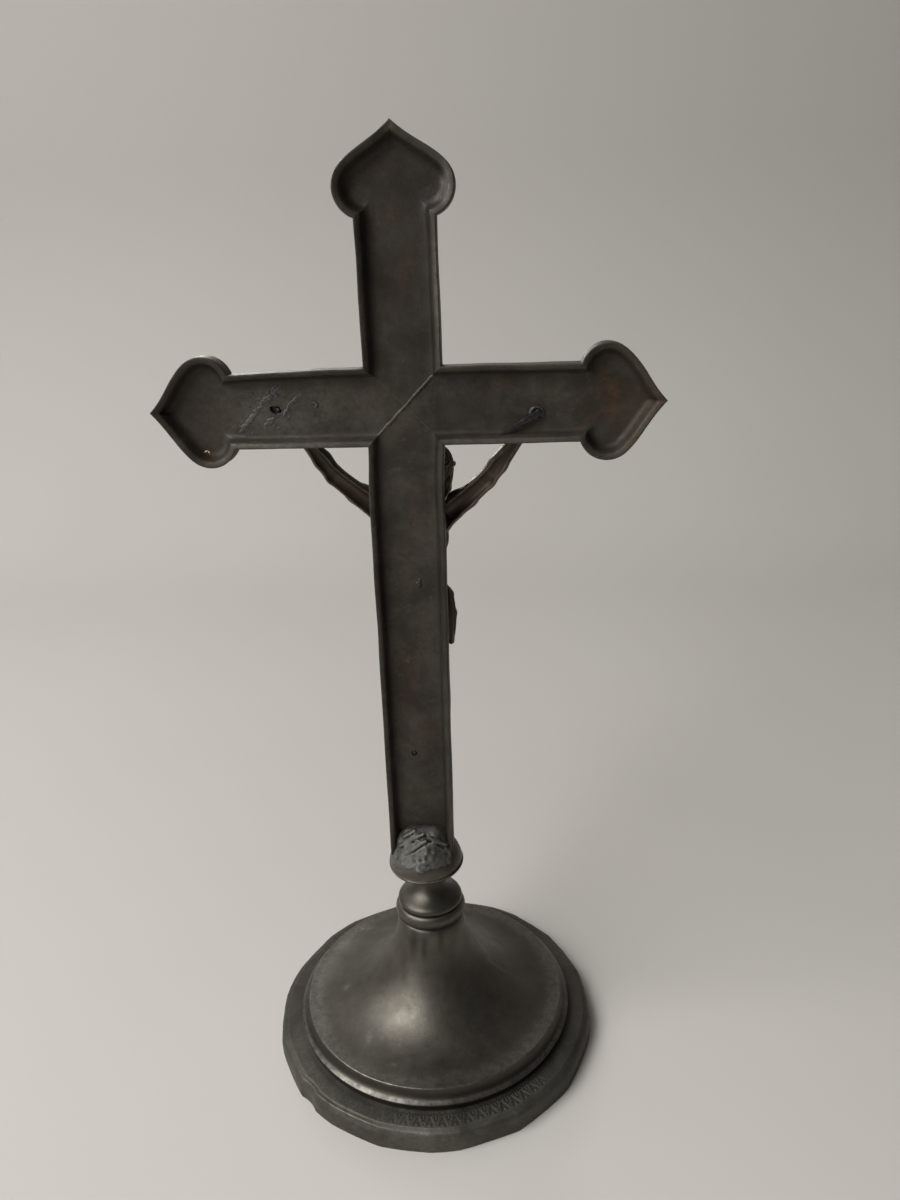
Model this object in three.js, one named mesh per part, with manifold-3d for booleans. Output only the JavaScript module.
// Standing altar crucifix in cast and turned pewter, built as its separate castings.
// Millimetres, +Z up. The origin is the centre of the foot's underside. The figure faces -Y,
// and the hollow back of the cross faces +Y. "Left" and "right" are the figure's own,
// so its left is +X.
import * as THREE from 'three';
import { mergeVertices } from 'three/addons/utils/BufferGeometryUtils.js';
import Module from 'manifold-3d';

const wasm = await Module();
wasm.setup();

// Driving dimensions
const TOTAL_HEIGHT = 320;
const CLEARANCE = 0.3;             // between soldered pieces
const CROSS_CENTRE_Z = 241.7;
const ARM_HALF_WIDTH = 11.8;
const TOP_REACH = TOTAL_HEIGHT - CROSS_CENTRE_Z;
const SIDE_REACH = 79.2;           // centre of the cross to an arm's tip
const CROSS_FRONT_Y = -1.7;
const CROSS_BACK_Y = 5;
const FLANGE = 1.9;                // width of the raised edge round the hollow back
const HOLLOW_FLOOR_Y = 0.6;
const BORDER = 2.4;                // width of the raised border on the front
const PANEL_Y = -1.2;              // sunk front panel inside that border
const MITRE_GAP = 0.3;

// Onion-shaped end of an arm: s runs out along the arm, h across it
const ONION = { centreS: 61.5, centreH: 8.85, radius: 8.6, shoulderAngle: 48 };
const OGEE_PULL = 6.2;             // how far the ogee keeps to the round's tangent
const OGEE_HOLLOW = { back: 5.4, height: 5.8 };   // the ogee's second handle, from the tip
const CURVE_STEPS = 9;

// Lower arm (shaft), which stands a little to the left of the foot's axis
const KNOP_SHIFT = 1;
const SHAFT_FOOT_Z = 79.8;
const SHAFT_FOOT_X = 1.6;
const SHAFT_FOOT_HALF_WIDTH = 11.4;
const SHAFT_JOG = { across: 0.6, down: 6 };    // sideways step just below the cross's centre

// Turned stem: [radius, height] stations
const KNOP = { core: 6.6, bulge: 7, seamZ: 74.1, lower: 4.4, upper: 8.6, topZ: 79.5, wall: 2 };
const BELL_CURVE = [
  [11.3, 57.2], [11.85, 57.6], [12, 58.4], [11.8, 59.2], [11.1, 59.9], [10.1, 60.5], [8.9, 61.2],
  [7.7, 62.1], [6.6, 63.3], [5.7, 64.8], [5, 66.6], [4.8, 69.4]];
const COLLAR = { bottomZ: 51.3, topZ: 56.9, core: 11.3, bulge: 1.75, bore: 5 };
const TURN_STEPS = 32;

// Foot
const FOOT_RADIUS = 60.8;
const DOME = { topZ: 51, topRadius: 12.6, edgeRadius: 49.1, edgeZ: 15.8, wall: 1.7, bore: 6 };
const STEP = { radius: 52.2, z: 11.3, undercut: 0.7, bottomZ: 8.7 };
const RIM = { bandZ: 8.4, bandInner: 49.4, bandOuter: 58.6, shoulderZ: 7.8, wall: 1.7, bandWall: 1.5 };
const FOOT_STEPS = 48;

// Figure
const FIGURE_BACK_Y = -2;
const ARM_BACK_Y = -2.3;
const LEFT_HAND = [39.9, 241.2];
const RIGHT_HAND = [-40.3, 238.4];
const FOOT_PIN = [3, 119.8];
const LOIN_PIN = [-1.4, 183.7];
const NAIL_RADIUS = 0.9;
const NAIL_TIP = [-28.9, 232.3];
const END_RIVET = [63.8, 228.1];
const HAND_NAIL_HEAD_Y = -8.1;
const FOOT_NAIL_HEAD_Y = -12.6;

const rad = THREE.MathUtils.degToRad;
const v2 = (x, y) => new THREE.Vector2(x, y);
const v3 = (x, y, z) => new THREE.Vector3(x, y, z);

// ---- materials ----
const pewter = (color, roughness) => () =>
  new THREE.MeshStandardMaterial({ color, roughness, metalness: 0.9 });
const agedPewter = pewter(0x5d5a52, 0.55);
const brownPewter = pewter(0x55493a, 0.6);
const softSolder = pewter(0x8a8d88, 0.5);
const darkIron = pewter(0x2e2c2a, 0.7);
const copper = pewter(0x9a6142, 0.4);

// ---- solids ----
// A closed geometry as a manifold solid
function solidOf(geometry) {
  const bare = geometry.clone();
  bare.deleteAttribute('normal');
  bare.deleteAttribute('uv');
  const merged = mergeVertices(bare, 1e-4);
  const source = merged.index.array;
  const kept = [];
  for (let i = 0; i < source.length; i += 3) {
    const [a, b, c] = [source[i], source[i + 1], source[i + 2]];
    if (a !== b && b !== c && c !== a) kept.push(a, b, c);
  }
  return new wasm.Manifold(new wasm.Mesh({
    numProp: 3,
    vertProperties: Float32Array.from(merged.attributes.position.array),
    triVerts: Uint32Array.from(kept),
  }));
}

function geometryOf(solid) {
  const mesh = solid.getMesh();
  const geometry = new THREE.BufferGeometry();
  geometry.setAttribute('position', new THREE.BufferAttribute(mesh.vertProperties, 3));
  geometry.setIndex(new THREE.BufferAttribute(mesh.triVerts, 1));
  geometry.computeVertexNormals();
  return geometry;
}

const union = (solids) => solids.reduce((all, next) => all.add(next));

// An outline drawn in x and z, made into a plate between two depths
function plate(outline, frontY, backY) {
  const geometry = new THREE.ExtrudeGeometry(new THREE.Shape(outline),
    { depth: backY - frontY, bevelEnabled: false });
  return solidOf(geometry.rotateX(Math.PI / 2).translate(0, backY, 0));
}

// A profile of [radius, z] points turned about the Z axis
function turned(profile, steps) {
  const points = profile.map(([r, z]) => v2(r, z));
  const ring = [...points, points[0]];
  const onAxis = points[0].x === 0;
  if (!THREE.ShapeUtils.isClockWise(points)) {
    return new THREE.LatheGeometry(onAxis ? points : ring, steps).rotateX(Math.PI / 2);
  }
  throw new Error('a turned profile runs anticlockwise');
}

// A round hole or pin along Y
function pinAlongY([x, z], radius, frontY, backY, sides = 10) {
  const geometry = new THREE.CylinderGeometry(radius, radius, backY - frontY, sides);
  return solidOf(geometry.translate(x, (frontY + backY) / 2, z));
}

function ellipsoid(centre, radii, tilt = 0, across = 14, up = 10) {
  const geometry = new THREE.SphereGeometry(1, across, up).rotateX(Math.PI / 2);
  geometry.scale(...radii).rotateY(rad(tilt)).translate(...centre);
  return solidOf(geometry);
}

// A tapered rod with round ends
function limb(from, to, startRadius, endRadius, sides = 12) {
  const a = v3(...from);
  const b = v3(...to);
  const length = a.distanceTo(b);
  const capSteps = 3;
  const profile = [v2(0, -startRadius)];
  for (let i = 1; i <= capSteps; i += 1) {
    const t = rad(-90 + (90 * i) / capSteps);
    profile.push(v2(startRadius * Math.cos(t), startRadius * Math.sin(t)));
  }
  for (let i = 0; i < capSteps; i += 1) {
    const t = rad((90 * i) / capSteps);
    profile.push(v2(endRadius * Math.cos(t), length + endRadius * Math.sin(t)));
  }
  profile.push(v2(0, length + endRadius));
  const turn = new THREE.Quaternion().setFromUnitVectors(v3(0, 1, 0), b.sub(a).normalize());
  const geometry = new THREE.LatheGeometry(profile, sides).applyQuaternion(turn);
  return solidOf(geometry.translate(...from));
}

function behind(y) {
  const size = 400;
  const box = new THREE.BoxGeometry(size, size, size);
  return solidOf(box.translate(0, y + size / 2, CROSS_CENTRE_Z));
}

// ---- cross ----
// Half the outline of an onion end, from the neck to the tip, drawn inset from the edge
function onionHalf(reach, inset) {
  const { centreS, centreH, radius, shoulderAngle } = ONION;
  const r = radius - inset;
  const neck = Math.PI - Math.asin((ARM_HALF_WIDTH - inset - centreH) / r);
  const shoulder = rad(shoulderAngle);
  const round = new THREE.EllipseCurve(centreS, centreH, r, r, neck, shoulder, true);
  const end = v2(centreS + radius * Math.cos(shoulder), centreH + radius * Math.sin(shoulder));
  const pull = v2(Math.sin(shoulder), -Math.cos(shoulder)).multiplyScalar(OGEE_PULL).add(end);
  const hollow = v2(reach - OGEE_HOLLOW.back, OGEE_HOLLOW.height);
  const ogee = new THREE.CubicBezierCurve(end, pull, hollow, v2(reach, 0));
  const points = round.getPoints(CURVE_STEPS);
  for (let i = 1; i <= CURVE_STEPS; i += 1) {
    const t = i / CURVE_STEPS;
    const tangent = ogee.getTangent(t);
    const inward = v2(tangent.y, -tangent.x).multiplyScalar(inset);
    points.push(ogee.getPoint(t).add(inward));
  }
  return trimAtCentreLine(points);
}

// Ends a half outline where it first reaches the arm's centre line
function trimAtCentreLine(points) {
  const last = points.findIndex((p) => p.y <= 0);
  const before = points[last - 1];
  const t = before.y / (before.y - points[last].y);
  const tip = before.clone().lerp(points[last], t);
  return [...points.slice(0, last), v2(tip.x, 0)];
}

function onionArm(reach, inset, angle) {
  const outward = onionHalf(reach, inset);
  const inward = outward.slice(0, -1).reverse();
  const local = [...outward.map((p) => v2(p.x, -p.y)), ...inward];
  return local.map((p) => p.rotateAround(v2(0, 0), angle));
}

// The lower arm's two edges, from its foot; below lengthens it downwards
function shaftEnd(inset, below) {
  const foot = SHAFT_FOOT_Z - CROSS_CENTRE_Z - below;
  const half = SHAFT_FOOT_HALF_WIDTH - inset;
  return [v2(SHAFT_FOOT_X - half, foot), v2(SHAFT_FOOT_X + half, foot)];
}

// The whole cross's outline in x and z
function crossOutline(inset, below) {
  const w = ARM_HALF_WIDTH - inset;
  const points = [
    v2(w, -w), ...onionArm(SIDE_REACH, inset, 0),
    v2(w, w), ...onionArm(TOP_REACH, inset, Math.PI / 2),
    v2(-w, w), ...onionArm(SIDE_REACH, inset, Math.PI),
    v2(-w, -w), v2(SHAFT_JOG.across - w, -w - SHAFT_JOG.down), ...shaftEnd(inset, below),
    v2(SHAFT_JOG.across + w, -w - SHAFT_JOG.down),
  ];
  return points.map((p) => v2(p.x, p.y + CROSS_CENTRE_Z));
}

// The quarter of the plane that one mitred arm lies in
function mitreQuarter(angle) {
  const far = 200;
  const start = MITRE_GAP / Math.SQRT2;
  const points = [v2(start, 0), v2(far + start, -far), v2(far + start, far)];
  const outline = points.map((p) => p.rotateAround(v2(0, 0), angle));
  const raised = outline.map((p) => v2(p.x, p.y + CROSS_CENTRE_Z));
  return plate(raised, CROSS_FRONT_Y - 1, CROSS_BACK_Y + 1);
}

function makeCrossCastings() {
  const beyond = 1;
  const hollow = plate(crossOutline(FLANGE, beyond), HOLLOW_FLOOR_Y, CROSS_BACK_Y + beyond);
  const panel = plate(crossOutline(BORDER, -BORDER), CROSS_FRONT_Y - beyond, PANEL_Y);
  const bore = NAIL_RADIUS + CLEARANCE;
  const bores = [LEFT_HAND, RIGHT_HAND, FOOT_PIN, LOIN_PIN, END_RIVET].map((at) =>
    pinAlongY(at, bore, CROSS_FRONT_Y - beyond, CROSS_BACK_Y + beyond));
  const body = plate(crossOutline(0, 0), CROSS_FRONT_Y, CROSS_BACK_Y);
  const cross = bores.reduce((all, next) => all.subtract(next), body.subtract(hollow).subtract(panel));
  return {
    left_arm_casting: cross.intersect(mitreQuarter(0)),
    head_arm_casting: cross.intersect(mitreQuarter(Math.PI / 2)),
    right_arm_casting: cross.intersect(mitreQuarter(Math.PI)),
    shaft_casting: cross.intersect(mitreQuarter(-Math.PI / 2)),
  };
}

// A low ridge of solder along one mitre, on the floor of the hollow
function mitreSolder(angle) {
  const radius = 0.7;
  const start = 1;
  const end = (ARM_HALF_WIDTH - FLANGE) * Math.SQRT2 - 0.5;
  const bottomY = HOLLOW_FLOOR_Y + CLEARANCE;
  const rod = new THREE.CylinderGeometry(radius, radius, end - start, 10);
  rod.translate(0, (start + end) / 2, 0).rotateZ(angle - Math.PI / 2).rotateX(Math.PI / 2);
  return solidOf(rod.translate(0, bottomY, CROSS_CENTRE_Z)).intersect(behind(bottomY));
}

// ---- stem ----
function knopProfile(fromAngle, toAngle, height, grow = 0) {
  const points = [];
  const steps = 8;
  for (let i = 0; i <= steps; i += 1) {
    const t = rad(fromAngle + ((toAngle - fromAngle) * i) / steps);
    const r = KNOP.core + (KNOP.bulge + grow) * Math.cos(t);
    points.push([r, KNOP.seamZ + (height + grow) * Math.sin(t)]);
  }
  return points;
}

function makeKnopLower() {
  const outside = knopProfile(-90, 0, KNOP.lower);
  const seam = KNOP.seamZ;
  const floor = seam - KNOP.lower + KNOP.wall;
  const inner = KNOP.core + KNOP.bulge - KNOP.wall;
  return turned([[0, seam - KNOP.lower], ...outside, [inner, seam], [inner - 2, floor + 0.8],
    [KNOP.core, floor], [0, floor]], TURN_STEPS);
}

function makeKnopUpper() {
  const topAngle = THREE.MathUtils.radToDeg(Math.asin((KNOP.topZ - KNOP.seamZ) / KNOP.upper));
  const outside = knopProfile(0, topAngle, KNOP.upper);
  const bottom = KNOP.seamZ + CLEARANCE;
  const inner = KNOP.core + KNOP.bulge - KNOP.wall;
  const ceiling = KNOP.topZ - KNOP.wall;
  outside[0] = [KNOP.core + KNOP.bulge, bottom];
  return turned([[0, ceiling], [inner - 2.2, ceiling], [inner, bottom + 1], [inner, bottom],
    ...outside, [0, KNOP.topZ]], TURN_STEPS);
}

// Bell that curves in to the neck
function makeBell() {
  const [bottom, top] = [BELL_CURVE[0][1], BELL_CURVE[BELL_CURVE.length - 1][1]];
  return turned([[0, bottom], ...BELL_CURVE, [0, top]], TURN_STEPS);
}

function makeCollar() {
  const middle = (COLLAR.bottomZ + COLLAR.topZ) / 2;
  const half = (COLLAR.topZ - COLLAR.bottomZ) / 2;
  const steps = 8;
  const points = [[COLLAR.bore, COLLAR.bottomZ]];
  for (let i = 0; i <= steps; i += 1) {
    const t = rad(-90 + (180 * i) / steps);
    points.push([COLLAR.core + COLLAR.bulge * Math.cos(t), middle + half * Math.sin(t)]);
  }
  points.push([COLLAR.bore, COLLAR.topZ]);
  return turned(points, TURN_STEPS);
}

// Rough lump of solder in the shaft's hollow end, spread over the knop's top and back
function makeShaftSolder() {
  const lump = ellipsoid([KNOP_SHIFT, 3.2, 82.5], [11.6, 5.6, 11], 0, 20, 14);
  const inside = SHAFT_FOOT_HALF_WIDTH - FLANGE - CLEARANCE;
  const floor = HOLLOW_FLOOR_Y + CLEARANCE;
  const pocket = new THREE.BoxGeometry(inside * 2, 20, 40);
  pocket.translate(SHAFT_FOOT_X, floor + 10, KNOP.topZ + CLEARANCE + 20);
  const outside = behind(CROSS_BACK_Y + CLEARANCE);
  const knop = knopProfile(-90, 90, KNOP.upper, CLEARANCE);
  const knopRoom = turned([[0, knop[0][1]], ...knop, [0, knop[knop.length - 1][1]]], TURN_STEPS);
  const shell = solidOf(knopRoom.translate(KNOP_SHIFT, 0, 0));
  const slab = new THREE.BoxGeometry(60, 60, 40);
  const belowTop = solidOf(slab.translate(0, 0, KNOP.topZ + CLEARANCE - 20));
  return lump.intersect(solidOf(pocket).add(outside)).subtract(shell.intersect(belowTop));
}

// ---- foot ----
function domeCurve(offset, steps) {
  const points = [];
  for (let i = 0; i <= steps; i += 1) {
    const t = rad((90 * i) / steps);
    const rise = DOME.topZ - DOME.edgeZ;
    const run = DOME.edgeRadius - DOME.topRadius;
    const r = DOME.topRadius + run * (1 - Math.cos(t)) - offset * Math.cos(t);
    points.push([r, DOME.topZ - rise * Math.sin(t) - offset * Math.sin(t)]);
  }
  return points;
}

// Trumpet-shaped shell with a hollow moulding and a step at its edge
function makeDome() {
  const outer = domeCurve(0, 12).reverse();
  const inner = domeCurve(DOME.wall, 10);
  const wallBottom = STEP.radius - STEP.undercut;
  const cavetto = [[50.9, 12.3], [50, 13.2], [49.5, 14.4]];
  const profile = [
    ...inner.slice(1), [48.8, 13.2], [wallBottom - DOME.wall, 10.6],
    [wallBottom - DOME.wall, STEP.bottomZ], [wallBottom, STEP.bottomZ],
    [wallBottom, STEP.z - 0.8], [STEP.radius, STEP.z], ...cavetto, ...outer,
    [DOME.bore, DOME.topZ], [DOME.bore, DOME.topZ - DOME.wall],
    [inner[0][0], DOME.topZ - DOME.wall],
  ];
  return turned(profile, FOOT_STEPS);
}

// Base ring: a flat band, a rounded shoulder and an upright skirt that stands on its lower edge
function makeRim() {
  const { bandZ, bandInner, bandOuter, shoulderZ, wall, bandWall } = RIM;
  const skirtInner = FOOT_RADIUS - wall;
  const under = bandZ - bandWall;
  return turned([
    [skirtInner, 0], [FOOT_RADIUS, 0], [FOOT_RADIUS, 3.6], [FOOT_RADIUS - 0.3, 6.4],
    [FOOT_RADIUS - 0.9, 7.5], [bandOuter + 0.6, shoulderZ], [bandOuter, shoulderZ - 0.3],
    [bandOuter - 0.6, bandZ - 0.2], [bandInner, bandZ], [bandInner, under],
    [skirtInner - 1.2, under - 0.4], [skirtInner, under - 1.6],
  ], FOOT_STEPS);
}

// Fillet of solder inside the foot, below the band and against the dome's wall
function makeRimSolder() {
  const inner = RIM.bandInner - CLEARANCE;
  return turned([[inner - 2.2, RIM.bandZ - 2], [inner, RIM.bandZ - 2], [inner, RIM.bandZ],
    [inner - 0.4, RIM.bandZ + 0.6]], FOOT_STEPS);
}

// ---- figure ----
const SHOULDER = { left: [8.4, -6.6, 204.4], right: [-8.2, -6.6, 202.4] };
const ARM_CHAINS = {
  left: { elbow: [24.8, -5.6, 218.9], wrist: [36.6, -4.7, 236.2], hand: LEFT_HAND },
  right: { elbow: [-24.4, -5.6, 216.6], wrist: [-37, -4.7, 233.2], hand: RIGHT_HAND },
};

// Head, trunk, loincloth and legs; grow thickens it all, to make room round it
function trunkSolid(grow) {
  const part = (centre, radii, tilt) => ellipsoid(centre, radii.map((r) => r + grow), tilt);
  const bone = (a, b, r1, r2) => limb(a, b, r1 + grow, r2 + grow);
  return union([
    part([-6.4, -11.4, 218.6], [6.9, 7, 8.6], -14),
    bone([-1.2, -7.2, 206], [-4.2, -9.4, 212.5], 3.4, 3.6),
    part([-0.9, -7.4, 197.4], [10.6, 5, 11], -2),
    bone([7.4, -6.8, 203.6], [-7.4, -6.8, 202], 3.9, 3.9),
    part([-1.3, -7, 184.5], [8.6, 4.4, 10.5], 0),
    part([-0.6, -7.4, 171], [10.6, 5, 8.8], 0),
    part([-10.7, -7.8, 171], [3.9, 3.6, 11.2], -3),
    bone([4.2, -8, 167], [4.6, -10.2, 147], 5, 3.7),
    bone([-3.8, -8, 167], [-2.4, -10.8, 147], 5, 3.7),
    bone([4.6, -10, 146], [3.6, -6.2, 125], 3.5, 2.3),
    bone([-2.4, -10.6, 146], [1.4, -7.4, 125], 3.5, 2.3),
    bone([3.6, -6, 124.5], [3.4, -7.6, 114.4], 2.2, 1.7),
    bone([1.6, -8, 124.5], [2.4, -10.4, 114.4], 2.2, 1.7),
  ]).subtract(behind(FIGURE_BACK_Y + grow));
}

function makeCorpusBody() {
  const pinRoom = pinAlongY(FOOT_PIN, NAIL_RADIUS + CLEARANCE, -20, 0);
  const loinRoom = pinAlongY(LOIN_PIN, NAIL_RADIUS + CLEARANCE, -5, 0);
  return trunkSolid(0).subtract(pinRoom).subtract(loinRoom);
}

// One arm: a hollow-backed casting, open behind
function makeCorpusArm(side, trunkRoom) {
  const { elbow, wrist, hand } = ARM_CHAINS[side];
  const palm = [hand[0], -4.4, hand[1]];
  const out = Math.sign(hand[0]);
  const fingers = [hand[0] + out * 3, -4.2, hand[1] + 4.4];
  const outer = union([
    limb(SHOULDER[side], elbow, 4.2, 3.6),
    limb(elbow, wrist, 3.5, 2.3),
    limb(wrist, palm, 2.2, 2.4),
    limb(palm, fingers, 2.2, 1.5),
  ]);
  const back = (p) => [p[0], p[1] + 3.1, p[2]];
  const channel = union([
    limb(back(SHOULDER[side]), back(elbow), 3.1, 2.7),
    limb(back(elbow), back(wrist), 2.6, 1.5),
  ]);
  const nailRoom = pinAlongY(hand, NAIL_RADIUS + CLEARANCE, -12, 0);
  return outer.subtract(behind(ARM_BACK_Y)).subtract(channel).subtract(nailRoom)
    .subtract(trunkRoom);
}

// ---- nails, pins and rivet ----
function nailHead([x, z], y) {
  return ellipsoid([x, y, z], [1.9, 0.9, 1.9], 0, 12, 8);
}

// Nail through the right hand, with its point bent over and lying in the hollow back
function makeRightNail() {
  const bendY = HOLLOW_FLOOR_Y + CLEARANCE + NAIL_RADIUS;
  const bend = [RIGHT_HAND[0], bendY, RIGHT_HAND[1]];
  const shank = limb([RIGHT_HAND[0], HAND_NAIL_HEAD_Y, RIGHT_HAND[1]], bend, NAIL_RADIUS, NAIL_RADIUS);
  const point = limb(bend, [NAIL_TIP[0], bendY + 0.8, NAIL_TIP[1]], NAIL_RADIUS, 0.25);
  return union([shank, point, nailHead(RIGHT_HAND, HAND_NAIL_HEAD_Y)]);
}

function makeStraightNail(at, headY, endY) {
  return union([pinAlongY(at, NAIL_RADIUS, headY, endY), nailHead(at, headY)]);
}

function makeEndRivet() {
  const shank = pinAlongY(END_RIVET, NAIL_RADIUS, PANEL_Y - 0.9, HOLLOW_FLOOR_Y + 0.9);
  const [x, z] = END_RIVET;
  const head = (y) => ellipsoid([x, y, z], [1.2, 0.5, 1.2], 0, 12, 8);
  return union([shank, head(PANEL_Y - CLEARANCE - 0.6), head(HOLLOW_FLOOR_Y + CLEARANCE + 0.6)]);
}

// Blank scroll plate above the head
function makeTitulus() {
  const front = PANEL_Y - CLEARANCE;
  const half = { width: 8.6, height: 3.4 };
  const z = 272;
  const outline = [
    v2(-half.width, z - half.height), v2(half.width, z - half.height - 0.6),
    v2(half.width, z + half.height - 0.6), v2(-half.width, z + half.height),
  ];
  return plate(outline, front - 1.3, front);
}

// ---- assembly ----
const object = new THREE.Group();

function add(name, shape, material) {
  const geometry = shape.isBufferGeometry ? shape : geometryOf(shape);
  const mesh = new THREE.Mesh(geometry, material());
  mesh.name = name;
  object.add(mesh);
  return mesh;
}

add('foot_rim', makeRim(), agedPewter);
add('rim_solder', makeRimSolder(), softSolder);
add('foot_dome', makeDome(), agedPewter);
add('stem_collar', makeCollar(), agedPewter);
add('stem_bell', makeBell(), agedPewter);
add('knop_lower_half', makeKnopLower(), agedPewter);
add('knop_upper_half', makeKnopUpper(), agedPewter).position.x = KNOP_SHIFT;
add('shaft_solder', makeShaftSolder(), softSolder);

for (const [name, casting] of Object.entries(makeCrossCastings())) add(name, casting, agedPewter);

const MITRES = { upper_left: 45, upper_right: 135, lower_right: 225, lower_left: 315 };
for (const [corner, angle] of Object.entries(MITRES)) {
  add(`mitre_solder_${corner}`, mitreSolder(rad(angle)), softSolder);
}

const trunkRoom = trunkSolid(CLEARANCE);
add('corpus_body', makeCorpusBody(), brownPewter);
add('corpus_left_arm', makeCorpusArm('left', trunkRoom), brownPewter);
add('corpus_right_arm', makeCorpusArm('right', trunkRoom), brownPewter);
add('right_hand_nail', makeRightNail(), darkIron);
add('left_hand_nail', makeStraightNail(LEFT_HAND, HAND_NAIL_HEAD_Y, -0.2), darkIron);
add('foot_nail', makeStraightNail(FOOT_PIN, FOOT_NAIL_HEAD_Y, HOLLOW_FLOOR_Y - 0.3), darkIron);
add('loin_pin', pinAlongY(LOIN_PIN, NAIL_RADIUS, -4.6, HOLLOW_FLOOR_Y + 0.5), softSolder);
add('end_rivet', makeEndRivet(), copper);
add('titulus_scroll', makeTitulus(), brownPewter);

export default object;
